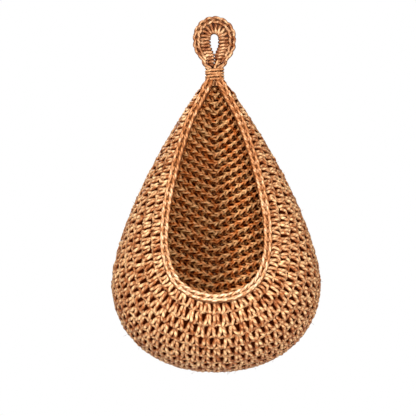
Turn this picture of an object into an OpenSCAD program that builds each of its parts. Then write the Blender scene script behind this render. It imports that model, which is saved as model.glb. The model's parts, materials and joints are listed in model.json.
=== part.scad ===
// Hanging fruit basket: a teardrop pouch of crocheted twine with a slanted mouth,
// bound at the neck and hung by a small crocheted loop.
// Millimetres. The origin is the point where a hook bears, at the top of the loop's eye.
// +Z is up, the mouth faces -Y and +X is to the right of someone facing the mouth.

/* [Pouch] */
// Width of the pouch at its widest
pouch_w = 198; // [150:1:260]
// Depth of the pouch, front to back
pouch_d = 178; // [130:1:240]
// Height of the pouch, from its bottom to the underside of the neck
pouch_h = 275; // [220:1:340]
// Height of the widest part above the bottom
belly_h = 85; // [60:1:110]
// Thickness of the crocheted wall
wall = 6; // [4:0.5:8]
// Fullness of the rounded bottom, where 2 is an ellipse
bottom_fullness = 2.15; // [2:0.05:2.6]
// Fullness of the shoulder, where 1 is a straight cone
shoulder_fullness = 1.52; // [1.2:0.01:1.9]

/* [Mouth] */
// Lean of the mouth's plane from upright
mouth_tilt = 22.8; // [20:0.1:27]
// Distance that the mouth's arms bow forward of that plane at mid-height
mouth_bow = 5; // [0:0.5:7]
// Height of the part under the neck where the mouth's two arms draw together
draw_in_h = 45; // [35:1:60]
// Angle from the front at which each arm meets the neck
arm_angle = 44; // [44:1:70]
// Width of the chain edging round the mouth
edging_w = 8.5; // [6:0.5:10]
// Height that the chain edging stands off the cut edge
edging_t = 5.5; // [3:0.5:7]

/* [Neck] */
// Radius of the gathered neck under the binding
neck_r = 6.6; // [6.2:0.1:8]
// Diameter of the binding twine
twine_d = 2.2; // [1.8:0.1:2.3]
// Rise of the binding for each turn
twine_pitch = 2.8; // [2.8:0.1:3.4]
// Number of whole turns in the binding
twine_turns = 4; // [3:1:6]
// Radius of the bend where each end of the twine turns into the neck
tuck_bend = 1.5; // [1.3:0.1:1.8]
// Thickness of the strands that spread above the binding
flare_t = 2.2; // [1.5:0.1:4]
// Gap between soft pieces that lie on each other
seat_gap = 0.3; // [0.2:0.05:0.4]

/* [Hanging loop] */
// Width of the loop's eye at its arch
eye_w = 8.4; // [6:0.2:12]
// Height of the loop, from its top to its foot
loop_h = 45.4; // [42:0.2:60]
// Width of the ring of wrapped stitches, from the eye outwards
cover_w = 9; // [7.5:0.5:10]
// Thickness of the loop, front to back
loop_t = 7; // [6:0.5:8]
// Width of the chain along the loop's outer edge
chain_w = 7; // [5:0.1:9]
// Width of the slit between the two feet of the loop
slit_w = 0.8; // [0.6:0.1:1.2]
// Share of its width that the loop keeps at its feet
foot_share = 0.8; // [0.75:0.01:0.9]
// Diameter of the cord that the stitches are wrapped on
core_d = 3.2; // [2.6:0.2:3.6]
// Depth that the cord's two legs reach into the neck
core_depth = 10; // [6:0.5:12]
// Number of wrapped stitches round the loop
stitch_count = 25; // [17:2:31]
// Depth of the groove between two wrapped stitches
stitch_groove = 0.9; // [0.4:0.1:1.1]

/* [Hidden] */

jute = [0.74, 0.55, 0.37];
jute_light = [0.84, 0.67, 0.49];
jute_dark = [0.60, 0.42, 0.27];

// Heights, from the hook's bearing point
arch_z = -eye_w / 2;
loop_top_z = cover_w + seat_gap + chain_w;
foot_z = loop_top_z - loop_h;
bind_h = twine_turns * twine_pitch + twine_d;
waist_h = bind_h + 2 * seat_gap;
pouch_top_z = foot_z - flare_t - waist_h;
pouch_bottom_z = pouch_top_z - pouch_h;

// Radii at the neck
wind_r = neck_r + seat_gap + twine_d / 2;
collar_r = wind_r + twine_d / 2 + 0.4;
foot_out = slit_w / 2 + foot_share * cover_w + seat_gap + foot_share * chain_w;

// Steps round the pouch, up its bowl and up its shoulder
az_steps = 72;
bowl_steps = 8;
shoulder_steps = 12;

// Share of the widest radius at a height in the bowl, and in the shoulder above it
function bowl_share(h, inset) =
    let (rise = max(0, min(1, (h - inset) / (belly_h - inset))))
    pow(1 - pow(1 - rise, bottom_fullness), 1 / bottom_fullness);
function shoulder_share(h) =
    1 - pow((h - belly_h) / (pouch_h - belly_h), shoulder_fullness);

// Half of a size of the pouch at a height above its bottom, with the surface set in
function half_size(size, h, inset) = h < belly_h
    ? (size / 2 - inset) * bowl_share(h, inset)
    : collar_r - inset + (size / 2 - collar_r) * shoulder_share(h);

function ease(t) = t < 0 ? 0 : t > 1 ? 1 : t * t * (3 - 2 * t);

// The mouth starts at the middle of the neck and comes forward going down, in a shallow
// bow. Under the neck it leaves that line, as its arms draw together at the front.
bow_start = 0.26;
function bow_share(h) = max(0, h / pouch_h - bow_start) / (1 - bow_start);
function plane_y(h) = -tan(mouth_tilt) * (pouch_h - h)
    - mouth_bow * sin(180 * pow(bow_share(h), 1.3));
function drawn(h) = ease((h - pouch_h + draw_in_h) / (0.7 * draw_in_h));
function mouth_y(h) = (1 - drawn(h)) * plane_y(h)
    - drawn(h) * cos(arm_angle) * half_size(pouch_d, h, wall / 2);

// Height at which the meridian at an azimuth from the front meets the mouth's bowed
// plane, found by halving
function cut_h(az, inset, low, high, halvings) =
    let (mid = (low + high) / 2)
    halvings == 0 ? mid
    : half_size(pouch_d, mid, inset) * cos(az) + plane_y(mid) > 0
        ? cut_h(az, inset, low, mid, halvings - 1)
        : cut_h(az, inset, mid, high, halvings - 1);
function top_h(az, inset) =
    cos(az) < 0.001 ? pouch_h : cut_h(az, inset, wall, pouch_h, 40);

// Azimuth where the surface reaches a distance in front of the neck. It stays open.
least_angle = 15;
function edge_az(y, h, inset) =
    let (share = min(1, -y / half_size(pouch_d, h, inset)))
    drawn(h) > 0 ? max(least_angle, acos(share)) : acos(share);

// Top of the meridian that leaves the bottom at an azimuth from 0 to 180: its height,
// level through the wall where the mouth's arms are steep, and its azimuth there
function end_h(az, inset) =
    let (own = top_h(az, inset), middle = top_h(az, wall / 2))
    own + (middle - own) * ease((az - 20) / 30);
function end_az(az, inset) =
    let (h = end_h(az, inset), now = edge_az(mouth_y(h), h, inset))
    cos(az) < 0.001 ? 180 - (180 - az) * (180 - now) / 90 : now;

function wall_point(az, h, inset) = [
    half_size(pouch_w, h, inset) * sin(az),
    -half_size(pouch_d, h, inset) * cos(az),
    h
];

// Points up one meridian: through the bowl, then up the shoulder to the mouth or the
// neck, where the meridians near the mouth turn towards the front
function meridian(az, inset) =
    let (
        side = az > 180 ? -1 : 1,
        start = az > 180 ? 360 - az : az,
        top = end_h(start, inset),
        turn = end_az(start, inset) - start,
        knee = min(belly_h, 0.8 * top)
    )
    [
        for (i = [1:bowl_steps])
            let (rise = 1 - cos(90 * i / bowl_steps))
            wall_point(side * start, inset + (knee - inset) * rise, inset),
        for (i = [1:shoulder_steps])
            let (share = i / shoulder_steps, here = start + turn * pow(share, 6))
            wall_point(side * here, knee + (top - knee) * share, inset)
    ];

// Two triangles for each cell of a grid of rings, where each ring closes on itself
function cell(a, b, c, d) = [[a, b, c], [a, c, d]];
function skin(first, rings, sides, flip) = [
    for (i = [0:rings - 2], j = [0:sides - 1])
        let (
            k = (j + 1) % sides,
            a = first + i * sides + j,
            b = first + (i + 1) * sides + j,
            c = first + (i + 1) * sides + k,
            d = first + i * sides + k
        )
        each flip ? cell(a, d, c, b) : cell(a, b, c, d)
];

// A solid tube through a list of rings of points
module tube(rings) {
    sides = len(rings[0]);
    last = (len(rings) - 1) * sides;
    polyhedron(
        points = [for (ring = rings) each ring],
        faces = [
            each skin(0, len(rings), sides, false),
            for (j = [1:sides - 2]) [0, j, j + 1],
            for (j = [1:sides - 2]) [last, last + j + 1, last + j]
        ],
        convexity = 10
    );
}

// A tube with a bore, through rings for its outside and rings for its bore
module sleeve(outer, inner) {
    sides = len(outer[0]);
    count = len(outer);
    bore = count * sides;
    end = (count - 1) * sides;
    polyhedron(
        points = [for (ring = outer) each ring, for (ring = inner) each ring],
        faces = [
            each skin(0, count, sides, false),
            each skin(bore, count, sides, true),
            for (j = [0:sides - 1])
                let (k = (j + 1) % sides)
                each cell(j, k, bore + k, bore + j),
            for (j = [0:sides - 1])
                let (k = (j + 1) % sides)
                each cell(end + k, end + j, bore + end + j, bore + end + k)
        ],
        convexity = 10
    );
}

// The crocheted wall, from the middle of its bottom up to the mouth and the neck
module pouch() {
    steps = bowl_steps + shoulder_steps;
    azimuths = [for (i = [0:az_steps - 1]) i * 360 / az_steps];
    outside = [for (az = azimuths) each meridian(az, 0)];
    inside = [for (az = azimuths) each meridian(az, wall)];
    color(jute)
    translate([0, 0, pouch_bottom_z])
    polyhedron(
        points = [[0, 0, 0], [0, 0, wall], each outside, each inside],
        faces = [
            for (i = [0:az_steps - 1])
                let (
                    a = 2 + i * steps,
                    b = 2 + ((i + 1) % az_steps) * steps,
                    c = a + az_steps * steps,
                    d = b + az_steps * steps
                )
                each [
                    [0, a, b],
                    [1, d, c],
                    for (j = [0:steps - 2])
                        each cell(a + j, a + j + 1, b + j + 1, b + j),
                    for (j = [0:steps - 2])
                        each cell(c + j, d + j, d + j + 1, c + j + 1),
                    each cell(a + steps - 1, c + steps - 1, d + steps - 1, b + steps - 1)
                ]
        ],
        convexity = 10
    );
}

// The chain round the mouth, seated on the cut edge of the wall
edging_reach = 75;
edging_steps = edging_reach * az_steps / 180;
edging_section = [[-0.5, 0], [-0.5, 0.45], [-0.32, 0.85], [0, 1], [0.32, 0.85], [0.5, 0.45], [0.5, 0]];
function edging_point(az) =
    let (h = top_h(abs(az), wall / 2), here = end_az(abs(az), wall / 2))
    wall_point(sign(az) * here, h, wall / 2);
function edging_along(az) =
    let (d = edging_point(az + 0.5) - edging_point(az - 0.5))
    d / norm(d);
function edging_normal(h) =
    let (rise = mouth_y(h + 0.5) - mouth_y(h - 0.5), n = [0, -1, rise])
    n / norm(n);
function edging_ring(az) =
    let (
        p = edging_point(az),
        along = edging_along(az),
        proud = edging_normal(min(p[2], pouch_h - 0.5)),
        across = cross(along, proud),
        unit_across = across / norm(across)
    )
    [
        for (q = edging_section)
            p + unit_across * q[0] * edging_w + proud * (1.4 * seat_gap + q[1] * edging_t)
    ];
// The arms end level, under the neck
function level_ring(ring, along) =
    [for (p = ring) p + along * (pouch_h - p[2]) / along[2]];
module mouth_edging() {
    azimuths = [for (i = [0:edging_steps]) edging_reach * (2 * i / edging_steps - 1)];
    rings = [for (az = azimuths) edging_ring(az)];
    color(jute_light)
    translate([0, 0, pouch_bottom_z])
    tube([
        level_ring(rings[0], edging_along(-edging_reach)),
        each rings,
        level_ring(rings[edging_steps], edging_along(edging_reach))
    ]);
}

// The stitches' ring and chain lie on stations along the loop: up the right leg,
// round the arch and down the left leg. Each station has a place, a direction
// outwards from the eye and a share of the way down the leg.
leg_h = arch_z - foot_z;
arch_share = 0.5;
function station(t) =
    t < (1 - arch_share) / 2 ? [[0, 0, foot_z + leg_h * 2 * t / (1 - arch_share)],
        [1, 0, 0], 1 - 2 * t / (1 - arch_share)]
    : t > (1 + arch_share) / 2 ? [[0, 0, foot_z + leg_h * 2 * (1 - t) / (1 - arch_share)],
        [-1, 0, 0], 1 - 2 * (1 - t) / (1 - arch_share)]
    : let (turn = 180 * (t - (1 - arch_share) / 2) / arch_share)
        [[0, 0, arch_z], [cos(turn), 0, sin(turn)], 0];

// Distances out from the middle of the eye, by the share of the way down the leg
function squeeze(down) = 1 - (1 - foot_share) * ease(down);
function eye_edge(down) = eye_w / 2 + (slit_w / 2 - eye_w / 2) * ease(1.6 * down - 0.5);
function cover_edge(down) = eye_edge(down) + cover_w * squeeze(down);
function chain_edge(down) = cover_edge(down) + seat_gap + chain_w * squeeze(down);
function core_out(down) = eye_edge(down) + loop_t / 2 * squeeze(down);

// A ring of points at a station, round or squarish, between two distances out
function loop_ring(place, near, far, thick, sides, square) = [
    for (i = [0:sides - 1])
        let (
            turn = 360 * (i + 0.5) / sides,
            c = cos(turn),
            s = sin(turn),
            mid = (near + far) / 2,
            half = (far - near) / 2
        )
        place[0]
            + place[1] * (mid + half * sign(c) * pow(abs(c), square))
            + [0, thick / 2 * sign(s) * pow(abs(s), square), 0]
];

// The wrapped stitches round the eye: one rib for each stitch, over a bore for the cord
stitch_steps = 3;
stitch_sides = 10;
stitch_square = 0.7;
module loop_stitches() {
    steps = stitch_count * stitch_steps;
    bore_r = core_d / 2 + seat_gap;
    places = [for (i = [0:steps]) station(i / steps)];
    grooves = [for (i = [0:steps]) i % stitch_steps == 0 ? stitch_groove : 0];
    outer = [
        for (i = [0:steps])
            let (down = places[i][2])
            loop_ring(places[i], eye_edge(down), cover_edge(down) - grooves[i] / 2,
                loop_t - 2 * grooves[i], stitch_sides, stitch_square)
    ];
    inner = [
        for (place = places)
            let (mid = core_out(place[2]))
            loop_ring(place, mid - bore_r, mid + bore_r, 2 * bore_r, stitch_sides, 1)
    ];
    color(jute)
    sleeve(outer, inner);
}

// The chain that finishes the loop's outer edge
chain_steps = 48;
chain_sides = 8;
module loop_edge_chain() {
    color(jute_light)
    tube([
        for (i = [0:chain_steps])
            let (place = station(i / chain_steps), near = cover_edge(place[2]) + seat_gap)
            loop_ring(place, near, chain_edge(place[2]), loop_t, chain_sides, stitch_square)
    ]);
}

// The cord inside the stitches, whose two legs go down into the neck
core_steps = 40;
core_sides = 8;
function core_ring(place, drop) =
    let (mid = core_out(place[2]))
    [
        for (p = loop_ring(place, mid - core_d / 2, mid + core_d / 2, core_d, core_sides, 1))
            p - [0, 0, drop]
    ];
module loop_core() {
    color(jute_dark)
    tube([
        core_ring(station(0), core_depth),
        for (i = [0:core_steps]) core_ring(station(i / core_steps), 0),
        core_ring(station(1), core_depth)
    ]);
}

// The binding's path: a straight end out of the neck, a bend into the turns, the turns,
// and the same again at the top. The ends are at the back.
turn_steps = 24;
bend_steps = 4;
bend_x = sqrt(pow(wind_r - tuck_bend, 2) - pow(tuck_bend, 2));
bend_turn = atan2(tuck_bend, bend_x);
function tuck_path(side) = [
    [bend_x - twine_d, 0],
    for (i = [0:bend_steps - 1])
        let (turn = (90 + bend_turn) * i / bend_steps)
        [bend_x + tuck_bend * sin(turn), side * tuck_bend * (1 - cos(turn))]
];
function at_back(p, z) = [-p[1], p[0], z];
last_step = turn_steps * twine_turns;
function wind_turn(i) = bend_turn + (360 * twine_turns - 2 * bend_turn) * i / last_step;
function wind_path() = [
    for (p = tuck_path(1)) at_back(p, 0),
    for (i = [0:last_step])
        at_back(wind_r * [cos(wind_turn(i)), sin(wind_turn(i))],
            twine_turns * twine_pitch * i / last_step),
    for (i = [bend_steps:-1:0]) at_back(tuck_path(-1)[i], twine_turns * twine_pitch)
];

// A ring of points square to the path
function path_ring(path, i, r, sides) =
    let (
        ahead = path[min(len(path) - 1, i + 1)] - path[max(0, i - 1)],
        along = ahead / norm(ahead),
        flat = cross([0, 0, 1], along),
        across = flat / norm(flat),
        up = cross(along, across)
    )
    [for (j = [0:sides - 1])
        path[i] + r * (across * cos(360 * j / sides) + up * sin(360 * j / sides))];
twine_sides = 6;
function least_gap(path) = min([
    for (i = [0:len(path) - 1], j = [i + turn_steps / 2:1:len(path) - 1])
        norm(path[i] - path[j])
]) - twine_d;
module neck_binding() {
    path = wind_path();
    echo(least_gap_between_turns = least_gap(path));
    color(jute_light)
    translate([0, 0, pouch_top_z + seat_gap + twine_d / 2])
    tube([for (i = [0:len(path) - 1]) path_ring(path, i, twine_d / 2, twine_sides)]);
}

// The strands gathered through the binding, spread above it to carry the loop's feet,
// with a socket for each leg of the cord and for each end of the twine
module neck_gather() {
    socket_r = core_d / 2 + seat_gap / 2;
    tuck_r = twine_d / 2 + seat_gap / 2;
    tuck_in = bend_x - twine_d - seat_gap / 2;
    color(jute_dark)
    translate([0, 0, pouch_top_z])
    difference() {
        union() {
            cylinder(r = neck_r, h = waist_h + flare_t, $fn = 64);
            intersection() {
                translate([0, 0, waist_h])
                    cylinder(r = foot_out + seat_gap, h = flare_t, $fn = 64);
                translate([-foot_out * 2, -loop_t / 2 - 1, waist_h - 1])
                    cube([foot_out * 4, loop_t + 2, flare_t + 2]);
            }
        }
        for (side = [-1, 1])
            translate([side * core_out(1), 0, waist_h + flare_t - core_depth - seat_gap])
                cylinder(r = socket_r, h = core_depth + 1, $fn = 32);
        for (z = [0, twine_turns * twine_pitch])
            translate([0, tuck_in, z + seat_gap + twine_d / 2])
                rotate([-90, 0, 0])
                cylinder(r = tuck_r, h = neck_r, $fn = 32);
    }
}

pouch();
mouth_edging();
neck_gather();
neck_binding();
loop_core();
loop_stitches();
loop_edge_chain();
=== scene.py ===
import json
import math

import bpy
import numpy as np
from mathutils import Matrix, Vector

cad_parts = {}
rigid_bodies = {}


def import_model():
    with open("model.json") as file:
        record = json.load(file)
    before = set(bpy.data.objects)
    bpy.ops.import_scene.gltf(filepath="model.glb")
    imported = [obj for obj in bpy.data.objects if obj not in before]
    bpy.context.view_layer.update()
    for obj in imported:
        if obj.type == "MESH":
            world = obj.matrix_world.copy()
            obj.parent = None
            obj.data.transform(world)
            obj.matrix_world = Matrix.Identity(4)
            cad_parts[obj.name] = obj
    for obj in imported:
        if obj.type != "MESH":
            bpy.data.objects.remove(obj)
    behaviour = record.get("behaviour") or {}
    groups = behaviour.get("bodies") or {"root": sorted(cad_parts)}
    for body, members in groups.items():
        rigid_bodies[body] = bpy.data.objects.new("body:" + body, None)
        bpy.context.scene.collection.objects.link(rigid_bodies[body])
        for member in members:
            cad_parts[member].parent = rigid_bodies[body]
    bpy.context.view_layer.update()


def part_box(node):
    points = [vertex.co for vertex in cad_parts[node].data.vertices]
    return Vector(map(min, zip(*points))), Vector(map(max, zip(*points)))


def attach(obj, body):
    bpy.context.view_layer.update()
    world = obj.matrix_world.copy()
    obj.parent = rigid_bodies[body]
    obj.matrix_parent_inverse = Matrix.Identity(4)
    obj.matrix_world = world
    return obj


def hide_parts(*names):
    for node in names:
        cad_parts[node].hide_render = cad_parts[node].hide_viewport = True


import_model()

print("frame loaded")

# The pouch's surface. Heights count from its bottom; sizes are metres.
pouchLow, pouchHigh = (np.array(corner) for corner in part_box("pouch"))
pouch = {
    "halfWidth": pouchHigh[0],
    "halfDepth": pouchHigh[1],
    "height": pouchHigh[2] - pouchLow[2],
    "bottom": pouchLow[2],
    "belly": 0.085,
    "bowlFullness": 2.15,
    "shoulderFullness": 1.50,
    "neckRadius": 0.0095,
    "midWall": 0.003,
    "fabricInset": 0.0047,
    "spacing": 0.002,
    "mouthTilt": math.radians(22.8),
    "mouthBow": 0.005,
    "bowStart": 0.26,
    "bowPower": 1.3,
    "drawIn": 0.045,
    "drawShare": 0.7,
    "armAngle": math.radians(44),
}


def halfSizes(height, inset):
    # half the width and half the depth at a height, this far in from the outer face
    belly = pouch["belly"]
    share = np.clip(1 - (height - inset) / (belly - inset), 0, 1)
    bowl = (1 - share ** pouch["bowlFullness"]) ** (1 / pouch["bowlFullness"])
    rise = np.clip((height - belly) / (pouch["height"] - belly), 0, 1)
    shoulder = 1 - rise ** pouch["shoulderFullness"]
    neck = pouch["neckRadius"]
    sizes = []
    for full in (pouch["halfWidth"], pouch["halfDepth"]):
        upper = neck - inset + (full - neck) * shoulder
        sizes.append(np.where(height < belly, (full - inset) * bowl, upper))
    return sizes


def wallPoint(azimuth, height, inset):
    wide, deep = halfSizes(height, inset)
    return np.stack([wide * np.sin(azimuth), -deep * np.cos(azimuth), height], -1)


def surfaceValue(points, inset):
    # zero on the surface, above zero outside it
    x, y, height = points.T
    belly = pouch["belly"]
    wide = pouch["halfWidth"] - inset
    deep = pouch["halfDepth"] - inset
    power = pouch["bowlFullness"]
    across = (x / wide) ** 2 + (y / deep) ** 2
    down = np.maximum(1 - (height - inset) / (belly - inset), 0)
    bowl = across ** (power / 2) + down ** power - 1
    upperWide, upperDeep = halfSizes(np.maximum(height, belly), inset)
    upper = np.sqrt((x / upperWide) ** 2 + (y / upperDeep) ** 2) - 1
    return np.where(height < belly, bowl, upper)


def surfaceSlope(points, inset):
    step = 1e-5
    slope = []
    for axis in np.eye(3):
        ahead = surfaceValue(points + axis * step, inset)
        behind = surfaceValue(points - axis * step, inset)
        slope.append((ahead - behind) / (2 * step))
    return np.stack(slope, -1)


def unit(vectors):
    return vectors / np.maximum(np.linalg.norm(vectors, axis=-1, keepdims=True), 1e-12)


def ontoSurface(points, inset):
    for _ in range(5):
        slope = surfaceSlope(points, inset)
        value = surfaceValue(points, inset)
        share = value / np.maximum((slope ** 2).sum(-1), 1e-9)
        points = points - slope * share[:, None]
    return points


def resample(points, spacing):
    lengths = np.concatenate([[0], np.cumsum(np.linalg.norm(np.diff(points, axis=0), axis=1))])
    count = max(2, int(round(lengths[-1] / spacing)) + 1)
    wanted = np.linspace(0, lengths[-1], count)
    return np.stack([np.interp(wanted, lengths, column) for column in points.T], -1)


def clipWhere(points, values):
    # keeps the leading run where values >= 0, ending exactly at the crossing
    below = np.nonzero(values < 0)[0]
    if not len(below):
        return points
    last = below[0]
    if last == 0:
        return points[:0]
    share = values[last - 1] / (values[last - 1] - values[last])
    edge = points[last - 1] + (points[last] - points[last - 1]) * share
    return np.concatenate([points[:last], edge[None]])


# Front rows: parallel to the mouth, counted away from it.

frontRows = {"rise": 0.0121, "count": 16, "rimRows": 2, "rimGap": 0.0035, "stride": 0.0015}


def ease(value):
    value = np.clip(value, 0, 1)
    return value * value * (3 - 2 * value)


def mouthDepth(heights):
    # how far in front of the neck's middle the mouth lies, at a height
    share = np.maximum(heights / pouch["height"] - pouch["bowStart"], 0) / (1 - pouch["bowStart"])
    plane = math.tan(pouch["mouthTilt"]) * (pouch["height"] - heights)
    plane = plane + pouch["mouthBow"] * np.sin(math.pi * share ** pouch["bowPower"])
    drawn = ease((heights - pouch["height"] + pouch["drawIn"]) / (pouch["drawShare"] * pouch["drawIn"]))
    arm = math.cos(pouch["armAngle"]) * halfSizes(heights, pouch["midWall"])[1]
    return (1 - drawn) * plane + drawn * arm


def mouthCurve(inset):
    # from the lowest point of the mouth, found by halving, up its right side to the neck
    low, high = 0.01, 0.15
    for _ in range(50):
        middle = (low + high) / 2
        ahead = halfSizes(np.array(middle), inset)[1] - mouthDepth(middle)
        low, high = (low, middle) if ahead > 0 else (middle, high)
    shares = np.linspace(0, 1, 500)
    heights = low + (pouch["height"] - low) * shares ** 2
    share = np.clip(mouthDepth(heights) / halfSizes(heights, inset)[1], -1, 1)
    azimuths = np.arccos(share)
    azimuths[0] = 0
    return wallPoint(azimuths, heights, inset)


def awayFromMouth(curve, inset):
    normals = unit(surfaceSlope(curve, inset))
    away = np.cross(unit(np.gradient(curve, axis=0)), normals)
    away[0, 0] = 0
    return unit(away), normals


def marchRows(inset):
    # each step moves the curve sideways over the surface
    curve = resample(mouthCurve(inset), pouch["spacing"])
    sign = -np.sign(awayFromMouth(curve, inset)[0][0, 2])
    distance = 0.0
    wanted = frontRows["rimGap"] + frontRows["rise"] / 2
    rows = []
    while len(rows) < frontRows["count"]:
        stride = min(frontRows["stride"], wanted - distance)
        away = awayFromMouth(curve, inset)[0] * sign
        curve = ontoSurface(curve + away * stride, inset)
        curve[0, 0] = 0
        curve = clipWhere(curve, -curve[:, 1] + 1e-6)
        if len(curve) < 4:
            break
        curve = resample(curve, pouch["spacing"])
        distance += stride
        if distance > wanted - 1e-7:
            away, normals = awayFromMouth(curve, inset)
            rise = np.full(len(curve), frontRows["rise"])
            rows.append({"at": curve.copy(), "up": -away * sign, "out": normals, "rise": rise})
            wanted += frontRows["rise"]
    return rows


# Back rows: shallow V shapes that meet on the spine and rise to the sides.

backRows = {"rise": 0.0121, "innerRise": 0.0092, "slope": 0.72, "slopeLength": 0.3}


def meridian(inset):
    # heights lie closer together at the bottom, where the outline runs nearly level
    heights = np.concatenate([np.linspace(0, 0.02, 200), np.linspace(0.0201, pouch["height"], 1400)])
    heights = inset + heights * (pouch["height"] - inset) / pouch["height"]
    radii = sum(halfSizes(heights, inset)) / 2
    lengths = np.concatenate([[0], np.cumsum(np.hypot(np.diff(radii), np.diff(heights)))])
    return heights, radii, lengths


def levelCurve(level, azimuths, line, inset):
    # azimuths count from the spine
    heights, radii, lengths = line
    slope = backRows["slope"] * lengths / backRows["slopeLength"]
    found = []
    for azimuth in azimuths:
        levels = lengths - radii * azimuth * slope
        found.append(np.interp(level, levels, heights))
    found = np.array(found)
    top = found >= pouch["height"] - 1e-9
    points = wallPoint(math.pi - azimuths, found, inset)
    return points, top


def backRowHalves(inset, rise):
    line = meridian(inset)
    azimuths = np.radians(np.linspace(0, 90, 181))
    count = int(line[2][-1] / rise) + 1
    rows = []
    for index in range(count):
        foot, _ = levelCurve(index * rise, azimuths, line, inset)
        middle, top = levelCurve((index + 0.5) * rise, azimuths, line, inset)
        head, _ = levelCurve((index + 1) * rise, azimuths, line, inset)
        inWall = ~top
        if inWall.sum() < 6:
            continue
        normals = unit(surfaceSlope(middle, inset))
        side = unit(np.cross(normals, np.gradient(middle, axis=0)))
        side *= np.sign((side * (head - foot)).sum())
        height = np.abs(((head - foot) * side).sum(-1))
        row = {"at": middle, "up": side, "out": normals, "rise": height}
        rows.append({key: value[inWall] for key, value in row.items()})
    return rows


def mirrored(half):
    # a half row runs from the middle plane outward; the whole one runs from left to right
    left = {key: value[::-1].copy() for key, value in half.items()}
    for key in ("at", "up", "out"):
        left[key][:, 0] *= -1
    whole = {key: np.concatenate([left[key][:-1], half[key]]) for key in half}
    middle = len(half["at"]) - 1
    whole["at"][:, 2] += pouch["bottom"]
    for key in ("up", "out"):
        whole[key][middle, 0] = 0
        whole[key] = unit(whole[key])
    return whole


inset = pouch["fabricInset"]
rowsAhead = [mirrored(half) for half in marchRows(inset)]
rowsBehind = [mirrored(half) for half in backRowHalves(inset, backRows["rise"])]
rowsInside = [mirrored(half) for half in backRowHalves(inset, backRows["innerRise"])]
print("rows", len(rowsAhead), len(rowsBehind))


# The mouth's edging faces forward and up, square to the mouth.

edging = {
    "width": 0.0085, "yarn": 0.00145, "lift": 0.0013,
    "tips": ((0.0044, -0.0026, 0.002), (0.0034, -0.0006, 0.005), (0.003, 0.0004, 0.009)),
}
tipShares = (0.8, 0.6, 0.5)


def mouthRow():
    curve = resample(mouthCurve(pouch["midWall"]), pouch["spacing"])
    step = 1e-4
    slope = (mouthDepth(curve[:, 2] + step) - mouthDepth(curve[:, 2] - step)) / (2 * step)
    proud = unit(np.stack([0 * slope, -1 + 0 * slope, -slope], -1))
    along = unit(np.gradient(curve, axis=0))
    across = unit(np.cross(along, proud))
    across[0, 0] = 0
    across *= -np.sign(across[0, 2])
    size = np.full(len(curve), edging["width"] - 2 * edging["yarn"])
    half = {"at": curve + proud * edging["lift"], "up": unit(across), "out": proud, "rise": size}
    # both arms end under the binding
    tips = np.array(edging["tips"]) + (0, 0, half["at"][-1, 2])
    half["at"] = np.concatenate([half["at"], tips])
    for key in ("up", "out", "rise"):
        half[key] = np.concatenate([half[key], np.repeat(half[key][-1:], 3, axis=0)])
    half["rise"][-3:] *= tipShares
    return mirrored(half)


seam = {"width": 0.005, "bedShare": 2.2, "yarn": 0.0013}


def seamRow(width):
    # down the left side from the neck, under the bottom and up the right side
    heights = inset + (pouch["height"] - inset) * np.linspace(0, 1, 600) ** 2
    curve = resample(wallPoint(np.full(600, math.pi / 2), heights, inset), pouch["spacing"])
    curve[0, 0] = 0
    normals = unit(surfaceSlope(curve, inset))
    back = np.tile([0.0, 1.0, 0.0], (len(curve), 1))
    return mirrored({"at": curve, "up": back, "out": normals, "rise": np.full(len(curve), width)})


# Small helpers for node trees

def put(tree, kind, ins=None, **settings):
    made = tree.nodes.new(kind)
    for key, value in settings.items():
        setattr(made, key, value)
    for key, value in (ins or {}).items():
        if isinstance(value, bpy.types.NodeSocket):
            tree.links.new(value, made.inputs[key])
        else:
            made.inputs[key].default_value = value
    return made


def sums(tree, operation, first, second=0.0, third=None):
    ins = {0: first, 1: second}
    if third is not None:
        ins[2] = third
    return put(tree, "ShaderNodeMath", ins, operation=operation).outputs[0]


def vectors(tree, operation, first, second=None, scale=None):
    ins = {0: first}
    if second is not None:
        ins[1] = second
    if scale is not None:
        ins["Scale"] = scale
    return put(tree, "ShaderNodeVectorMath", ins, operation=operation).outputs["Vector"]


def named(tree, name, kind="FLOAT"):
    return put(tree, "GeometryNodeInputNamedAttribute", {"Name": name}, data_type=kind).outputs[0]


def keep(tree, geometry, name, value, kind="FLOAT"):
    ins = {"Geometry": geometry, "Name": name, "Value": value}
    return put(tree, "GeometryNodeStoreNamedAttribute", ins, data_type=kind, domain="POINT").outputs[0]


def newTree(name, inputs):
    tree = bpy.data.node_groups.new(name, "GeometryNodeTree")
    tree.interface.new_socket("Geometry", in_out="INPUT", socket_type="NodeSocketGeometry")
    tree.interface.new_socket("Geometry", in_out="OUTPUT", socket_type="NodeSocketGeometry")
    for label, kind in inputs:
        tree.interface.new_socket(label, in_out="INPUT", socket_type="NodeSocket" + kind)
    source = tree.nodes.new("NodeGroupInput")
    target = tree.nodes.new("NodeGroupOutput")
    return tree, source.outputs, target.inputs[0]


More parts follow.
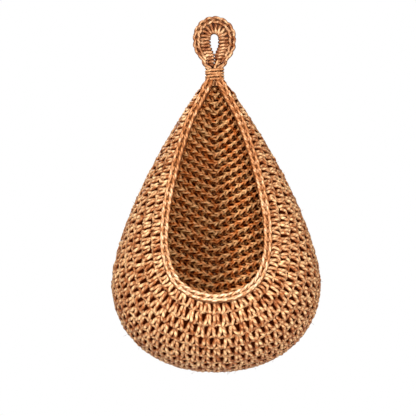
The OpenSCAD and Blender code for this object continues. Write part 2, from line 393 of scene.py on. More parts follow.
def yarnTube(tree, curve, radius, sides, material):
    # the tube keeps a vector: cosine and sine round the strand, and metres along it
    along = put(tree, "GeometryNodeSplineParameter").outputs["Length"]
    curve = keep(tree, curve, "along", along)
    ring = put(tree, "GeometryNodeCurvePrimitiveCircle", {"Resolution": sides, "Radius": 1.0})
    spot = put(tree, "GeometryNodeInputPosition").outputs[0]
    ring = keep(tree, ring.outputs[0], "ringSpot", spot, "FLOAT_VECTOR")
    ins = {"Curve": curve, "Profile Curve": ring, "Scale": radius, "Fill Caps": True}
    tube = put(tree, "GeometryNodeCurveToMesh", ins).outputs[0]
    spotParts = put(tree, "ShaderNodeSeparateXYZ", {0: named(tree, "ringSpot", "FLOAT_VECTOR")}).outputs
    turn = put(tree, "ShaderNodeCombineXYZ", {0: spotParts[0], 1: spotParts[1], 2: named(tree, "along")})
    tube = keep(tree, tube, "strand", turn.outputs[0], "FLOAT_VECTOR")
    # crest is one on the side of a strand that faces out of the fabric, or into the bag; the shader paints
    # highlight on it and shade on the flanks
    normal = put(tree, "GeometryNodeInputNormal").outputs[0]
    ins = {0: normal, 1: named(tree, "outDir", "FLOAT_VECTOR")}
    facing = put(tree, "ShaderNodeVectorMath", ins, operation="DOT_PRODUCT").outputs["Value"]
    tube = keep(tree, tube, "crest", sums(tree, "ABSOLUTE", facing))
    for name in ("along", "ringSpot", "outDir"):
        tube = put(tree, "GeometryNodeRemoveAttribute", {"Geometry": tube, "Name": name}).outputs[0]
    tube = put(tree, "GeometryNodeSetShadeSmooth", {"Geometry": tube}).outputs[0]
    tube = put(tree, "GeometryNodeRealizeInstances", {"Geometry": tube}).outputs[0]
    return put(tree, "GeometryNodeSetMaterial", {"Geometry": tube, "Material": material}).outputs[0]


def smoothed(tree, mesh, steps):
    curve = put(tree, "GeometryNodeMeshToCurve", {"Mesh": mesh}).outputs[0]
    kind = put(tree, "GeometryNodeCurveSplineType", {"Curve": curve}, spline_type="CATMULL_ROM")
    ins = {"Geometry": kind.outputs[0], "Resolution": steps}
    return put(tree, "GeometryNodeSetSplineResolution", ins).outputs[0]


# Rows are laid out flat first: metres along x, one lane for each row in y, metres out in z.

layout = {"lane": 4.0, "join": 2e-5, "shakeAlong": 90.0, "shakeScale": 1.3}


def buildStitchTree():
    inputs = [
        ("Motif", "Object"), ("Pitch", "Float"), ("Radius", "Float"), ("Sides", "Int"), ("Steps", "Int"),
        ("Wander", "Float"), ("Depth", "Float"), ("Seed", "Float"), ("Material", "Material"),
    ]
    tree, given, target = newTree("stitches", inputs)
    lane = layout["lane"]
    guides = put(tree, "GeometryNodeMeshToCurve", {"Mesh": given["Geometry"]}).outputs[0]
    ins = {"Curve": guides, "Length": given["Pitch"]}
    spaced = put(tree, "GeometryNodeResampleCurve", ins, mode="LENGTH").outputs[0]
    place = put(tree, "GeometryNodeSplineParameter").outputs
    whole = put(tree, "GeometryNodeSplineLength").outputs
    gaps = sums(tree, "SUBTRACT", whole["Point Count"], 1.0)
    spaced = keep(tree, spaced, "lengthAt", place["Length"])
    spaced = keep(tree, spaced, "gapHere", sums(tree, "DIVIDE", whole["Length"], gaps))
    # a row's last point starts no stitch
    here = sums(tree, "ADD", place["Index"], 0.5)
    isSite = put(tree, "FunctionNodeCompare", {0: here, 1: gaps}, operation="LESS_THAN")
    spaced = keep(tree, spaced, "isSite", isSite.outputs[0], "BOOLEAN")
    spot = put(tree, "GeometryNodeInputIndex").outputs[0]
    row = put(tree, "GeometryNodeCurveOfPoint", {"Point Index": spot}).outputs["Curve Index"]
    ins = {0: named(tree, "lengthAt"), 1: sums(tree, "MULTIPLY", row, lane)}
    flat = put(tree, "ShaderNodeCombineXYZ", ins)
    spaced = keep(tree, spaced, "flatSpot", flat.outputs[0], "FLOAT_VECTOR")
    sites = put(tree, "GeometryNodeCurveToPoints", {"Curve": spaced}, mode="EVALUATED").outputs[0]
    ins = {"Geometry": sites, "Position": named(tree, "flatSpot", "FLOAT_VECTOR")}
    sites = put(tree, "GeometryNodeSetPosition", ins).outputs[0]
    motif = put(tree, "GeometryNodeObjectInfo", {"Object": given["Motif"]}).outputs["Geometry"]
    size = put(tree, "ShaderNodeCombineXYZ", {0: named(tree, "gapHere"), 1: 1.0, 2: 1.0}).outputs[0]
    ins = {"Points": sites, "Selection": named(tree, "isSite", "BOOLEAN"), "Instance": motif, "Scale": size}
    laid = put(tree, "GeometryNodeInstanceOnPoints", ins).outputs[0]
    laid = put(tree, "GeometryNodeRealizeInstances", {"Geometry": laid}).outputs[0]
    ins = {"Geometry": laid, "Distance": layout["join"]}
    laid = put(tree, "GeometryNodeMergeByDistance", ins).outputs[0]

    position = put(tree, "GeometryNodeInputPosition").outputs[0]
    parts = put(tree, "ShaderNodeSeparateXYZ", {0: position}).outputs
    rowFloat = sums(tree, "DIVIDE", parts[1], lane)
    rowHere = sums(tree, "ROUND", rowFloat)
    upShare = sums(tree, "SUBTRACT", parts[1], sums(tree, "MULTIPLY", rowHere, lane))
    ins = {0: sums(tree, "MULTIPLY", parts[0], layout["shakeAlong"]), 1: upShare, 2: rowHere}
    noiseSpot = put(tree, "ShaderNodeCombineXYZ", ins).outputs[0]
    ins = {"Vector": noiseSpot, "W": given["Seed"], "Scale": layout["shakeScale"]}
    noise = put(tree, "ShaderNodeTexNoise", ins, noise_dimensions="4D").outputs["Color"]
    shake = vectors(tree, "SCALE", vectors(tree, "SUBTRACT", noise, (0.5, 0.5, 0.5)), scale=given["Wander"])
    # then each point is carried to its place on its guide
    sampled = {}
    ins = {"Curves": guides, "Length": parts[0], "Curve Index": rowHere}
    for label, name in (("out", "outDir"), ("up", "upDir"), ("rise", "rise")):
        kind = "FLOAT" if label == "rise" else "FLOAT_VECTOR"
        value = named(tree, name, kind)
        node = put(tree, "GeometryNodeSampleCurve", {**ins, "Value": value}, mode="LENGTH", data_type=kind)
        sampled[label] = node.outputs["Value"]
        sampled["at"] = node.outputs["Position"]
    for label in ("out", "up"):
        sampled[label] = vectors(tree, "NORMALIZE", sampled[label])
    lift = sums(tree, "MULTIPLY", sums(tree, "SUBTRACT", upShare, 0.5), sampled["rise"])
    final = vectors(tree, "ADD", sampled["at"], vectors(tree, "SCALE", sampled["up"], scale=lift))
    final = vectors(tree, "ADD", final, vectors(tree, "SCALE", sampled["out"], scale=parts[2]))
    final = vectors(tree, "ADD", final, shake)
    # the new spots are worked out once, before the geometry moves
    laid = keep(tree, laid, "target", final, "FLOAT_VECTOR")
    # proud: how far a strand stands out of the wall's middle; the shader paints shade on the deep ones
    proud = sums(tree, "DIVIDE", sums(tree, "ABSOLUTE", parts[2]), given["Depth"])
    laid = keep(tree, laid, "proud", sums(tree, "MINIMUM", proud, 1.0))
    laid = keep(tree, laid, "outDir", sampled["out"], "FLOAT_VECTOR")
    ins = {"Geometry": laid, "Position": named(tree, "target", "FLOAT_VECTOR")}
    laid = put(tree, "GeometryNodeSetPosition", ins).outputs[0]
    for name in ("target", "flatSpot", "isSite", "gapHere", "lengthAt", "upDir", "rise"):
        laid = put(tree, "GeometryNodeRemoveAttribute", {"Geometry": laid, "Name": name}).outputs[0]
    curve = smoothed(tree, laid, given["Steps"])
    tree.links.new(yarnTube(tree, curve, given["Radius"], given["Sides"], given["Material"]), target)
    return tree


def buildStrandTree():
    inputs = [("Radius", "Float"), ("Sides", "Int"), ("Steps", "Int"), ("Material", "Material")]
    tree, given, target = newTree("strands", inputs)
    marked = keep(tree, given["Geometry"], "proud", 1.0)
    curve = smoothed(tree, marked, given["Steps"])
    tree.links.new(yarnTube(tree, curve, given["Radius"], given["Sides"], given["Material"]), target)
    return tree


stitchTree = buildStitchTree()
strandTree = buildStrandTree()


def lineMesh(name, lines, extras=None):
    # lines is a list of point arrays; extras has one value array per line for each attribute
    mesh = bpy.data.meshes.new(name)
    edges = []
    start = 0
    for line in lines:
        edges += [(start + step, start + step + 1) for step in range(len(line) - 1)]
        start += len(line)
    mesh.from_pydata(np.concatenate(lines).tolist(), edges, [])
    for label, values in (extras or {}).items():
        joined = np.concatenate(values)
        kind = "FLOAT_VECTOR" if joined.ndim == 2 else "FLOAT"
        slot = mesh.attributes.new(label, kind, "POINT")
        slot.data.foreach_set("vector" if joined.ndim == 2 else "value", joined.astype(np.float32).ravel())
    return mesh


def roundLines(name, lines):
    # strands round the upright axis of the neck
    return lineMesh(name, lines, {"outDir": [unit(line * (1, 1, 0) + (1e-6, 0, 0)) for line in lines]})


def makePiece(name, mesh, tree, settings, replaced=()):
    source = bpy.data.objects.new(name + "Guide", mesh)
    bpy.context.scene.collection.objects.link(source)
    modifier = source.modifiers.new("build", "NODES")
    modifier.node_group = tree
    for item in tree.interface.items_tree:
        if item.item_type == "SOCKET" and item.in_out == "INPUT" and item.name in settings:
            modifier[item.identifier] = settings[item.name]
    graph = bpy.context.evaluated_depsgraph_get()
    graph.update()
    solid = bpy.data.meshes.new_from_object(source.evaluated_get(graph), depsgraph=graph)
    solid.name = name
    bpy.data.objects.remove(source)
    piece = bpy.data.objects.new(name, solid)
    bpy.context.scene.collection.objects.link(piece)
    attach(piece, "root")
    for node in replaced:
        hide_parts(node)
    triangles = sum(len(face.vertices) - 2 for face in solid.polygons)
    print(name, "triangles", triangles)


def rowMesh(name, rows):
    sources = {"outDir": "out", "upDir": "up", "rise": "rise"}
    extras = {label: [row[key] for row in rows] for label, key in sources.items()}
    return lineMesh(name, [row["at"] for row in rows], extras)


# Yarn

def shaderTree(name):
    material = bpy.data.materials.new(name)
    material.use_nodes = True
    tree = material.node_tree
    tree.nodes.clear()
    return material, tree


grain = {
    "broadScale": 160.0, "fleckScale": 900.0, "fibreRound": 2.2, "fibreAlong": 900.0, "fibreDrift": 260.0,
    "broadShare": 0.55, "fibreShare": 0.3, "fleckShare": 0.15, "groovePower": 0.6, "paintedHighlightPower": 3.0,
    "upperFrom": -0.24, "upperTo": -0.1, "darkAt": 0.4, "middleAt": 0.5, "lightAt": 0.68,
    "hollowPowers": (1.0, 1.3, 1.6), "fibreBump": 0.35, "bumpDepth": 0.0006,
}


def juteMaterial(name, look):
    material, tree = shaderTree(name)
    strand = put(tree, "ShaderNodeAttribute", attribute_name="strand").outputs["Vector"]
    parts = put(tree, "ShaderNodeSeparateXYZ", {0: strand}).outputs
    turn = sums(tree, "ARCTAN2", parts[1], parts[0])
    phase = sums(tree, "MULTIPLY_ADD", parts[2], look["twist"], sums(tree, "MULTIPLY", turn, look["plies"]))
    wave = sums(tree, "MULTIPLY_ADD", sums(tree, "SINE", phase), 0.5, 0.5)
    groove = sums(tree, "POWER", wave, grain["groovePower"])
    place = put(tree, "ShaderNodeTexCoord").outputs["Object"]
    ins = {"Vector": place, "Scale": grain["broadScale"], "Detail": 3.0}
    broad = put(tree, "ShaderNodeTexNoise", ins).outputs[0]
    # fibres run round the strand as they run along it
    course = sums(tree, "MULTIPLY", parts[2], grain["fibreAlong"])
    course = sums(tree, "MULTIPLY_ADD", turn, grain["fibreRound"], course)
    ins = {0: course, 1: sums(tree, "MULTIPLY", parts[2], grain["fibreDrift"]), 2: broad}
    fineAt = put(tree, "ShaderNodeCombineXYZ", ins).outputs[0]
    ins = {"Vector": fineAt, "Scale": 1.0, "Detail": 3.0, "Roughness": 0.6}
    fibre = put(tree, "ShaderNodeTexNoise", ins).outputs[0]
    ins = {"Vector": place, "Scale": grain["fleckScale"], "Detail": 2.0}
    fleck = put(tree, "ShaderNodeTexNoise", ins).outputs[0]
    crest = put(tree, "ShaderNodeAttribute", attribute_name="crest").outputs["Fac"]
    proud = put(tree, "ShaderNodeAttribute", attribute_name="proud").outputs["Fac"]
    tone = sums(tree, "MULTIPLY", broad, grain["broadShare"])
    tone = sums(tree, "MULTIPLY_ADD", fibre, grain["fibreShare"], tone)
    tone = sums(tree, "MULTIPLY_ADD", fleck, grain["fleckShare"], tone)
    # painted highlight: the side of a strand that faces out is lightened towards the light colour
    tone = sums(tree, "MULTIPLY_ADD", sums(tree, "POWER", crest, grain["paintedHighlightPower"]), look["paintedHighlight"], tone)
    upright = put(tree, "ShaderNodeSeparateXYZ", {0: place}).outputs[2]
    ins = {0: upright, 1: grain["upperFrom"], 2: grain["upperTo"]}
    upper = put(tree, "ShaderNodeMapRange", ins).outputs[0]
    tone = sums(tree, "SUBTRACT", tone, sums(tree, "MULTIPLY", upper, look["upperShade"]))
    ramp = put(tree, "ShaderNodeValToRGB", {0: tone})
    elements = ramp.color_ramp.elements
    for element, end in zip((elements[0], elements[1]), ("dark", "light")):
        element.position = grain[end + "At"]
        element.color = (*look[end], 1)
    middle = elements.new(grain["middleAt"])
    middle.color = (*look["middle"], 1)
    # painted shade in the grooves between the plies
    depth = sums(tree, "MULTIPLY", sums(tree, "SUBTRACT", 1.0, groove), look["grooveShade"])
    ins = {0: depth, 6: ramp.outputs[0], 7: (*look["groove"], 1)}
    mixed = put(tree, "ShaderNodeMix", ins, data_type="RGBA")
    # painted shade: sides that face away from the fabric's outward direction, and strands deep in the wall,
    # are darkened
    ins = {0: crest, 1: look["crestFrom"], 2: look["crestTo"]}
    raised = put(tree, "ShaderNodeMapRange", ins, interpolation_type="SMOOTHSTEP").outputs[0]
    standing = sums(tree, "MULTIPLY_ADD", proud, 1 - look["floorShare"], look["floorShare"])
    raised = sums(tree, "MULTIPLY", raised, standing)
    # painted shade: hollows darken, and redden as they do
    lit = sums(tree, "MULTIPLY_ADD", raised, look["deepShade"], 1 - look["deepShade"])
    shades = {axis: sums(tree, "POWER", lit, power) for axis, power in enumerate(grain["hollowPowers"])}
    shade = put(tree, "ShaderNodeCombineXYZ", shades).outputs[0]
    ins = {0: 1.0, 6: mixed.outputs[2], 7: shade}
    mixed = put(tree, "ShaderNodeMix", ins, data_type="RGBA", blend_type="MULTIPLY")
    height = sums(tree, "MULTIPLY_ADD", fibre, grain["fibreBump"], groove)
    ins = {"Height": height, "Strength": look["bump"], "Distance": grain["bumpDepth"]}
    ins = {"Normal": put(tree, "ShaderNodeBump", ins).outputs[0], "Base Color": mixed.outputs[2]}
    ins["Roughness"] = look["roughness"]
    ins["Specular IOR Level"] = look["specular"]
    surface = put(tree, "ShaderNodeBsdfPrincipled", ins)
    put(tree, "ShaderNodeOutputMaterial", {0: surface.outputs[0]})
    return material


def linear(red, green, blue):
    # display values from 0 to 255 to scene-linear ones
    return tuple(((v / 255 + 0.055) / 1.055) ** 2.4 for v in (red, green, blue))


# crestFrom and crestTo: how far a side has to face out to be painted as lit; floorShare: the painted light
# left deep down
juteLook = {
    "dark": linear(112, 54, 20), "middle": linear(168, 96, 49), "light": linear(252, 206, 152),
    "groove": linear(80, 34, 10), "grooveShade": 0.6, "plies": 2.0, "twist": 1100.0, "bump": 0.7,
    "crestFrom": -0.3, "crestTo": 0.88, "floorShare": 0.2, "deepShade": 0.97, "paintedHighlight": 0.12,
    "upperShade": 0.0, "roughness": 0.5, "specular": 0.15,
}
edgeLook = dict(juteLook, dark=linear(160, 96, 50), middle=linear(208, 143, 92), light=linear(252, 221, 180),
                deepShade=0.9, upperShade=0.12)
# the inside's copy of the jute, with stronger painted shade on the flanks and in the hollows, and a stronger
# painted highlight
innerLook = dict(juteLook, dark=linear(126, 50, 16), middle=linear(214, 112, 44),
                 light=linear(255, 200, 138), deepShade=0.985, paintedHighlight=0.15, crestFrom=0.42, crestTo=0.97,
                 floorShare=0.0, specular=0.0)
# the binding's copy: weaker painted highlight, and more painted shade on the flanks between its turns
twineLook = dict(juteLook, dark=linear(130, 76, 38), middle=linear(188, 128, 82), paintedHighlight=0.04,
                 grooveShade=0.3, crestFrom=0.35, crestTo=0.95)
loopLook = dict(juteLook, dark=linear(98, 48, 20), middle=linear(150, 92, 52), light=linear(240, 194, 146),
                paintedHighlight=0.06)
# painted shadow: a near-black copy of the jute for strands where there is only shade, behind the stitches
# and under the loop
paintedShadowLook = dict(juteLook, dark=linear(44, 14, 3), middle=linear(62, 22, 5), light=linear(84, 36, 12),
                specular=0.0)
jute = juteMaterial("jute", juteLook)
paleJute = juteMaterial("paleJute", edgeLook)
innerJute = juteMaterial("innerJute", innerLook)
twineJute = juteMaterial("twineJute", twineLook)
loopJute = juteMaterial("loopJute", loopLook)
paintedShadowJute = juteMaterial("paintedShadowJute", paintedShadowLook)
print("materials ready")

# Stitches of the pouch. A motif is one stitch: x in pitches, y in rises, z in millimetres out.

def motifLines(name, lines):
    # motifs start at zero, so that each ends where the next one starts
    moved = [np.array(line, float) * (1, 1, 0.001) + (0.5, 0, 0) for line in lines]
    made = bpy.data.objects.new(name, lineMesh(name, moved))
    bpy.context.scene.collection.objects.link(made)
    made.hide_render = True
    return made


stitchMotif = motifLines("stitchMotif", [[
    (-.50, .20, 1.9), (-.42, .04, 1.9), (-.31, .12, 2.6), (-.22, .42, 3.0), (-.15, .78, 2.5),
    (-.07, 1.02, .8), (-.12, .72, -1.8), (-.24, .22, -2.4), (0, .02, -2.8), (.24, .22, -2.4),
    (.12, .72, -1.8), (.07, 1.02, .8), (.15, .78, 2.5), (.22, .42, 3.0), (.31, .12, 2.6),
    (.42, .04, 1.9), (.50, .20, 1.9),
]])
# the back's stitches stay in the outer half of the wall, in front of the inner braid
outerMotif = motifLines("outerMotif", [[
    (-.50, .20, 1.9), (-.42, .04, 1.9), (-.31, .12, 2.6), (-.22, .42, 3.0), (-.15, .78, 2.5),
    (-.07, 1.02, .8), (-.10, .72, .8), (-.12, .42, .8), (0, .22, .8), (.12, .42, .8),
    (.10, .72, .8), (.07, 1.02, .8), (.15, .78, 2.5), (.22, .42, 3.0), (.31, .12, 2.6),
    (.42, .04, 1.9), (.50, .20, 1.9),
]])
insideMotif = motifLines("insideMotif", [[
    (-.5, .5, -.8), (-.30, .34, -1.8), (.05, .14, -2.9), (.45, .02, -2.9), (.80, .14, -2.2),
    (.92, .5, -1.2), (.80, .86, -2.2), (.45, .98, -2.9), (.05, .84, -2.9), (-.30, .66, -1.8),
    (-.42, .5, -.8), (0, .5, -.4), (.5, .5, -.8),
]])
# strands along a row: two on the outer face, and one on the inner face where no braid lies
barLines = [
    [(-.5, .30, 1.4), (-.30, .22, .9), (0, -.02, 2.2), (.30, .22, .9), (.5, .30, 1.4)],
    [(-.5, .05, 1.8), (-.25, -.02, 2.6), (0, .10, 3.0), (.25, .08, 2.6), (.5, .05, 1.8)],
    [(-.5, .10, -2.8), (-.25, .16, -2.2), (0, .28, -2.9), (.25, .16, -2.2), (.5, .10, -2.8)],
]
barMotif = motifLines("barMotif", barLines)
outerBarMotif = motifLines("outerBarMotif", barLines[:2])
# painted shadow: near-black strands that fill the wall behind the stitches and stand for the shade in the
# holes
layers = (.02, .22, .42, .62, .82)
coreMotif = motifLines("coreMotif", [[(-.5, y, 1.4), (0, y + .03, 1.7), (.5, y, 1.4)] for y in layers])
stitching = {"Motif": stitchMotif, "Pitch": 0.0096, "Radius": 0.00205, "Sides": 7, "Steps": 3,
             "Wander": 0.003, "Depth": 0.0024, "Seed": 1.0, "Material": jute}
barring = dict(stitching, Motif=barMotif, Steps=2, Sides=6, Radius=0.0015, Depth=0.004, Seed=11.0)
filling = dict(stitching, Motif=coreMotif, Steps=1, Sides=6, Radius=0.002, Wander=0.0004, Depth=0.009,
               Seed=21.0, Material=paintedShadowJute)


def stitchPieces(prefix, rows, groups, settings, replaced):
    # one piece for each group of neighbouring rows
    for index, picked in enumerate(np.array_split(np.arange(len(rows)), groups)):
        mesh = rowMesh(f"{prefix}{index + 1}", [rows[spot] for spot in picked])
        chosen = dict(settings, Seed=settings["Seed"] + index)
        makePiece(f"{prefix}{index + 1}", mesh, stitchTree, chosen, replaced)


# the rows next to the mouth are worked closer
denseMotif = motifLines("denseMotif", [[
    (-.50, .30, 1.4), (-.44, .02, 1.8), (-.32, .10, 2.9), (-.16, .42, 3.2), (-.20, .80, 2.4),
    (-.10, 1.02, .8), (-.12, .72, -1.8), (-.24, .22, -2.4), (0, .02, -2.8), (.24, .22, -2.4),
    (.12, .72, -1.8), (.10, 1.02, .8), (.10, .80, 2.4), (.24, .48, 3.2), (.30, .16, 2.9),
    (.42, .10, 1.8), (.50, .30, 1.4),
]])
dense = dict(stitching, Motif=denseMotif, Pitch=0.0078, Radius=0.0018, Wander=0.0048, Seed=81.0)
rimRows = frontRows["rimRows"]
stitchPieces("pouchRim", rowsAhead[:rimRows], 1, dense, ["pouch"])
stitchPieces("pouchFront", rowsAhead[rimRows:], 3, stitching, ["pouch"])
stitchPieces("pouchBack", rowsBehind, 4, dict(stitching, Motif=outerMotif), ["pouch"])
inside = dict(stitching, Motif=insideMotif, Pitch=0.0078, Radius=0.00175, Wander=0.0022, Depth=0.003,
              Seed=71.0, Material=innerJute)
stitchPieces("pouchInside", rowsInside, 5, inside, ["pouch"])
stitchPieces("pouchBars", rowsAhead, 1, barring, ["pouch"])
backBarring = dict(barring, Motif=outerBarMotif, Seed=12.0)
stitchPieces("pouchBackBars", rowsBehind, 1, backBarring, ["pouch"])
stitchPieces("pouchFilling", rowsAhead + rowsBehind, 1, filling, ["pouch"])

# Chains: each loop comes out of the one before and spreads into a V.

chainMotif = motifLines("chainMotif", [[
    (-.5, .5, .8), (-.30, .30, 2.3), (.05, .10, 3.3), (.45, .02, 3.1), (.78, .22, 2.3),
    (.88, .5, 1.5), (.78, .78, 2.3), (.45, .98, 3.1), (.05, .90, 3.3), (-.30, .70, 2.3),
    (-.42, .5, 1.1), (0, .5, .1), (.5, .5, .8),
]])
rimMotif = motifLines("rimMotif", [[
    (-.5, .5, .4), (-.76, .40, 1.6), (-.45, .24, 2.8), (.05, .10, 3.3), (.55, .05, 2.9),
    (.85, .20, 2.0), (.95, .5, 1.2), (.85, .80, 2.0), (.55, .95, 2.9), (.05, .90, 3.3),
    (-.45, .76, 2.8), (-.76, .60, 1.6), (-.42, .5, .4), (0, .5, 0), (.5, .5, .4),
]])
baseSpots = ((.05, -.6), (.95, -.6), (.5, -.2))
baseMotif = motifLines("baseMotif", [[(-.5, y, z), (0, y, z), (.5, y, z)] for y, z in baseSpots])
edgeChain = {"Motif": chainMotif, "Pitch": 0.0085, "Radius": edging["yarn"], "Sides": 8, "Steps": 4,
             "Wander": 0.0014, "Depth": 0.0032, "Seed": 31.0, "Material": paleJute}
edgingChain = dict(edgeChain, Motif=rimMotif)
edgingBase = dict(edgeChain, Motif=baseMotif, Steps=2)
stitchPieces("mouthEdging", [mouthRow()], 1, edgingChain, ["mouth_edging"])
stitchPieces("edgingBase", [mouthRow()], 1, edgingBase, ["mouth_edging"])

# The seam between the front rows and the back rows, a chain on a bed coloured as painted shadow
seamBed = dict(filling, Seed=25.0)
seamChain = dict(edgeChain, Radius=seam["yarn"], Material=jute, Seed=41.0)
seamRows = [seamRow(seam["width"])]
seamBedRows = [seamRow(seam["width"] * seam["bedShare"])]
stitchPieces("pouchSeamBed", seamBedRows, 1, seamBed, ["pouch"])
stitchPieces("pouchSeam", seamRows, 1, seamChain, ["pouch"])

# The loop. Stations run up its right leg, round the arch and down its left leg.

loop = {
    "foot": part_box("loop_edge_chain")[0][2], "footShare": 0.58, "archShare": 0.5, "stations": 241,
    "eye": 0.007, "slit": -0.0004, "cover": 0.0097, "chain": 0.007, "gap": 0.0003, "chainBack": 0.0006,
    "coverYarn": 0.0013, "chainYarn": 0.00125, "tuckDown": 0.0032,
    "tips": ((0.0068, 0, -0.0016), (0.0054, 0, -0.0036), (0.0038, 0, -0.0065)),
}


def loopStation(share):
    # a place on the loop's middle line, the way out from it, and how far down a leg it lies
    leg = -loop["eye"] / 2 - loop["foot"]
    side = (1 - loop["archShare"]) / 2
    if share < side:
        return np.array([0, 0, loop["foot"] + leg * share / side]), np.array([1.0, 0, 0]), 1 - share / side
    if share > 1 - side:
        left = 1 - share
        return np.array([0, 0, loop["foot"] + leg * left / side]), np.array([-1.0, 0, 0]), 1 - left / side
    turn = math.pi * (share - side) / loop["archShare"]
    return np.array([0, 0, -loop["eye"] / 2]), np.array([math.cos(turn), 0, math.sin(turn)]), 0.0


def loopRow(first, last, yarn, back=0.0, facing=-1.0):
    # a guide midway between two distances out, named by what they follow
    row = {"at": [], "up": [], "out": [], "rise": []}
    for share in np.linspace(0, 1, loop["stations"]):
        place, out, down = loopStation(share)
        squeeze = 1 - (1 - loop["footShare"]) * ease(2.5 * down - 1.45)
        eye = loop["eye"] / 2 + (loop["slit"] / 2 - loop["eye"] / 2) * ease(2.2 * down - 0.55)
        cover = eye + loop["cover"] * squeeze
        chain = cover + loop["gap"] + loop["chain"] * squeeze
        marks = {"eye": eye, "cover": cover, "chain": chain}
        near, far = marks[first], marks[last]
        row["at"].append(place + out * (near + far) / 2 + np.array([0, back, 0]))
        row["up"].append(out)
        row["out"].append([0, facing, 0])
        row["rise"].append(far - near - 2 * yarn)
    row = {key: np.array(value, float) for key, value in row.items()}
    if first == "cover":
        # both ends of the chain go in under the binding
        inward = np.array(loop["tips"]) + (0, 0, loop["foot"])
        row["at"] = np.concatenate([inward[::-1], row["at"], inward * (-1, 1, 1)])
        for key in ("up", "out", "rise"):
            before = np.repeat(row[key][:1], 3, axis=0)
            after = np.repeat(row[key][-1:], 3, axis=0)
            row[key] = np.concatenate([before, row[key], after])
        row["rise"][:3] *= tipShares[::-1]
        row["rise"][-3:] *= tipShares
    else:
        # and the stitches too, so no gap shows above it
        down = np.array([0, 0, -loop["tuckDown"]])
        row["at"] = np.concatenate([row["at"][:1] + down, row["at"], row["at"][-1:] + down])
        for key in ("up", "out", "rise"):
            row[key] = np.concatenate([row[key][:1], row[key], row[key][-1:]])
    return row


wrapMotif = motifLines("wrapMotif", [[
    (-.5, -.02, 0), (-.42, .08, 1.7), (-.38, .35, 2.3), (-.32, .70, 2.3), (-.26, 1.02, 1.7),
    (-.16, 1.16, 0), (0, 1.02, -1.7), (.12, .70, -2.3), (.26, .35, -2.3), (.40, .08, -1.7),
    (.5, -.02, 0),
]])
wrapping = dict(edgeChain, Motif=wrapMotif, Pitch=0.0031, Radius=0.0015, Steps=3, Sides=7, Wander=0.0014,
                Depth=0.0016, Seed=51.0, Material=loopJute)
wrapRow = loopRow("eye", "cover", loop["coverYarn"])
stitchPieces("loopStitches", [wrapRow], 1, wrapping, ["loop_stitches"])

# A chain shows on both faces of the loop; each starts a little behind the middle and stands out past it.
loopChain = dict(edgeChain, Pitch=0.0066, Radius=0.0014, Wander=0.0012, Seed=61.0, Material=loopJute)
faces = [loopRow("cover", "chain", loop["chainYarn"], -loop["chainBack"] * way, way) for way in (-1.0, 1.0)]
stitchPieces("loopEdgeChain", faces, 1, loopChain, ["loop_edge_chain"])
bedMotif = motifLines("bedMotif", [[(-.5, y, 0), (0, y, 0), (.5, y, 0)] for y in (-.6, -.25, .25, .75)])
bed = dict(loopChain, Motif=bedMotif, Steps=2, Depth=0.002)
bedRow = loopRow("cover", "chain", loop["chainYarn"])
stitchPieces("loopChainBed", [bedRow], 1, bed, ["loop_edge_chain"])

# Stray fibres: short hairs that stand out of the yarn here and there

fibres = {
    "count": 320, "length": 0.006, "radius": 0.00011, "lean": 1.0, "bend": 0.35, "start": 0.0022,
    "points": 5, "seed": 9,
}


def fibreLines(rows):
    chance = np.random.default_rng(fibres["seed"])
    lines = []
    outs = []
    for _ in range(fibres["count"]):
        row = rows[chance.integers(len(rows))]
        spot = chance.integers(len(row["at"]))
        out = row["out"][spot]
        across = row["up"][spot] * row["rise"][spot] * chance.uniform(-0.5, 0.5)
        start = row["at"][spot] + across + out * fibres["start"]
        heading = unit(out + chance.normal(0, fibres["lean"], 3))
        bend = unit(chance.normal(0, 1, 3)) * fibres["bend"]
        length = fibres["length"] * chance.uniform(0.3, 1.0)
        shares = np.linspace(0, 1, fibres["points"])[:, None]
        lines.append(start + length * (shares * heading + shares ** 2 * bend))
        outs.append(np.tile(out, (fibres["points"], 1)))
    return lines, outs


hairs, hairOuts = fibreLines(rowsAhead + rowsBehind)
hairMesh = lineMesh("pouchFibres", hairs, {"outDir": hairOuts})
hairSettings = {"Radius": fibres["radius"], "Sides": 3, "Steps": 1, "Material": paleJute}
makePiece("pouchFibres", hairMesh, strandTree, hairSettings, ["pouch"])

# Strands of the neck

windLow, windHigh = (np.array(corner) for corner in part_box("neck_binding"))
binding = {
    "radius": 0.0079, "yarn": 0.00135, "turns": 4.4, "pitch": 0.0027, "steps": 20, "start": 0.0010,
    "tuck": (0.0035, 0.0062), "wobble": 0.0003, "wobbleRate": 9.1,
}
stem = {
    "radius": 0.0052, "yarn": 0.0015, "strands": 13, "points": 13, "below": 0.005, "above": 0.0045,
    "jitter": 0.3, "twist": 0.35, "splay": 0.9, "flare": 0.0055, "flatten": 0.45, "seed": 5,
}


def bindingLine():
    # both ends turn in to the stem
    turns = np.linspace(0, binding["turns"], int(binding["turns"] * binding["steps"]) + 1)
    radius = np.full(len(turns), binding["radius"])
    radius[0] = radius[-1] = binding["tuck"][0]
    radius[1] = radius[-2] = binding["tuck"][1]
    wobble = binding["wobble"] * np.sin(turns * binding["wobbleRate"])
    heights = windLow[2] + binding["start"] + turns * binding["pitch"] + wobble
    angle = turns * 2 * math.pi + math.pi / 2
    return np.stack([radius * np.cos(angle), radius * np.sin(angle), heights], -1)


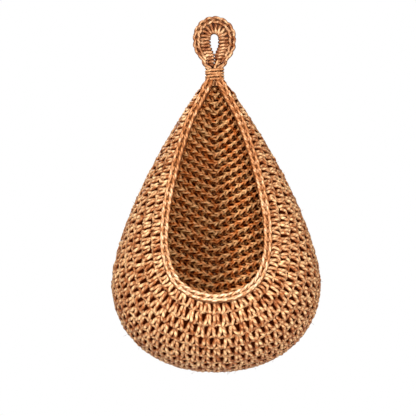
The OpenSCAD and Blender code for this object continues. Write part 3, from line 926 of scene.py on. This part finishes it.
def gatherLines():
    # the strands splay below the binding, and spread sideways above it, under the loop
    chance = np.random.default_rng(stem["seed"])
    bottom = windLow[2] - stem["below"]
    top = loop["foot"] + stem["above"]
    lines = []
    for index in range(stem["strands"]):
        start = 2 * math.pi * (index + stem["jitter"] * chance.random()) / stem["strands"]
        points = []
        for share in np.linspace(0, 1, stem["points"]):
            z = bottom + share * (top - bottom)
            below = ease((windLow[2] + 0.002 - z) / 0.014)
            above = ease((z - windHigh[2] + 0.0015) / 0.006)
            angle = start + stem["twist"] * share
            radius = stem["radius"] * (1 + stem["splay"] * below)
            x = math.cos(angle) * radius
            y = math.sin(angle) * radius
            x += above * stem["flare"] * np.sign(x) * min(1, abs(x) / 0.002)
            y *= 1 - stem["flatten"] * above
            points.append((x, y, z))
        lines.append(np.array(points))
    return lines


twine = {"Radius": binding["yarn"], "Sides": 10, "Steps": 2, "Material": twineJute}
bindingMesh = roundLines("neckBinding", [bindingLine()])
makePiece("neckBinding", bindingMesh, strandTree, twine, ["neck_binding"])
gather = dict(twine, Radius=stem["yarn"])
gatherMesh = roundLines("neckGather", gatherLines())
makePiece("neckGather", gatherMesh, strandTree, gather, ["neck_gather"])

# The cord that the loop's stitches are worked over, with both legs down in the stem
coreLine = wrapRow["at"][::6]
legDown = np.array([0, 0, 0.009])
cordLine = np.concatenate([coreLine[:1] - legDown, coreLine, coreLine[-1:] - legDown])
cordMesh = roundLines("loopCord", [cordLine])
# the cord lies under the stitches and takes the painted-shadow colour
cord = dict(twine, Radius=0.0016, Material=paintedShadowJute)
makePiece("loopCord", cordMesh, strandTree, cord, ["loop_core"])

# Stage: width is what the camera sees across at its distance, roll is in degrees

stage = {
    "width": 0.3944, "distance": 2.0, "centreX": -0.0072, "centreZ": -0.1648, "roll": 0.4, "sensor": 36,
    "floor": -0.62, "reach": 6.0, "fill": 0.22,
}


def paleMaterial(name, colour):
    # the camera sees plain white; everything else sees a pale surface
    material, tree = shaderTree(name)
    seen = put(tree, "ShaderNodeLightPath").outputs["Is Camera Ray"]
    plain = put(tree, "ShaderNodeBsdfDiffuse", {"Color": (*colour, 1)}).outputs[0]
    white = put(tree, "ShaderNodeEmission", {"Color": (1, 1, 1, 1), "Strength": 1.0}).outputs[0]
    mixed = put(tree, "ShaderNodeMixShader", {0: seen, 1: plain, 2: white}).outputs[0]
    put(tree, "ShaderNodeOutputMaterial", {0: mixed})
    return material


floorMesh = bpy.data.meshes.new("floor")
reach = stage["reach"]
corners = [(-reach, -reach), (reach, -reach), (reach, reach), (-reach, reach)]
floorMesh.from_pydata([(x, y, stage["floor"]) for x, y in corners], [], [(0, 1, 2, 3)])
floor = bpy.data.objects.new("floor", floorMesh)
bpy.context.scene.collection.objects.link(floor)
floorMesh.materials.append(paleMaterial("paleFloor", (0.8, 0.8, 0.8)))


def worldLight():
    world = bpy.data.worlds.new("studio")
    bpy.context.scene.world = world
    world.use_nodes = True
    tree = world.node_tree
    tree.nodes.clear()
    seen = put(tree, "ShaderNodeLightPath").outputs["Is Camera Ray"]
    fill = put(tree, "ShaderNodeBackground", {"Color": (1, 1, 1, 1), "Strength": stage["fill"]}).outputs[0]
    white = put(tree, "ShaderNodeBackground", {"Color": (1, 1, 1, 1), "Strength": 1.0}).outputs[0]
    mixed = put(tree, "ShaderNodeMixShader", {0: seen, 1: fill, 2: white}).outputs[0]
    put(tree, "ShaderNodeOutputWorld", {0: mixed})


worldLight()


def softLight(name, spot, aim, size, watts):
    light = bpy.data.lights.new(name, "AREA")
    light.shape = "DISK"
    light.size = size
    light.energy = watts
    made = bpy.data.objects.new(name, light)
    bpy.context.scene.collection.objects.link(made)
    made.location = spot
    heading = np.array(aim) - np.array(spot)
    made.rotation_euler = Vector(heading).to_track_quat("-Z", "Y").to_euler()


aim = (0, 0, -0.18)
softLight("keyLight", (-0.6, -1.4, 0.7), aim, 0.25, 28)
softLight("frontLight", (0.1, -1.9, 0.05), aim, 0.25, 26)
softLight("fillLight", (1.3, -1.0, 0.1), aim, 0.8, 9)
softLight("backLight", (-0.5, 2.0, 0.7), aim, 0.8, 16)

camera = bpy.data.cameras.new("camera")
camera.type = "PERSP"
camera.sensor_width = stage["sensor"]
camera.lens = stage["sensor"] * stage["distance"] / stage["width"]
eye = bpy.data.objects.new("camera", camera)
bpy.context.scene.collection.objects.link(eye)
eye.location = (stage["centreX"], -stage["distance"], stage["centreZ"])
eye.rotation_euler = (math.pi / 2, math.radians(stage["roll"]), 0)
bpy.context.scene.camera = eye
bpy.context.scene.view_settings.view_transform = "Standard"

# Blender's own starting objects, where there are any
for extra in [thing for thing in bpy.data.objects if thing.name in ("Cube", "Light", "Camera")]:
    bpy.data.objects.remove(extra)
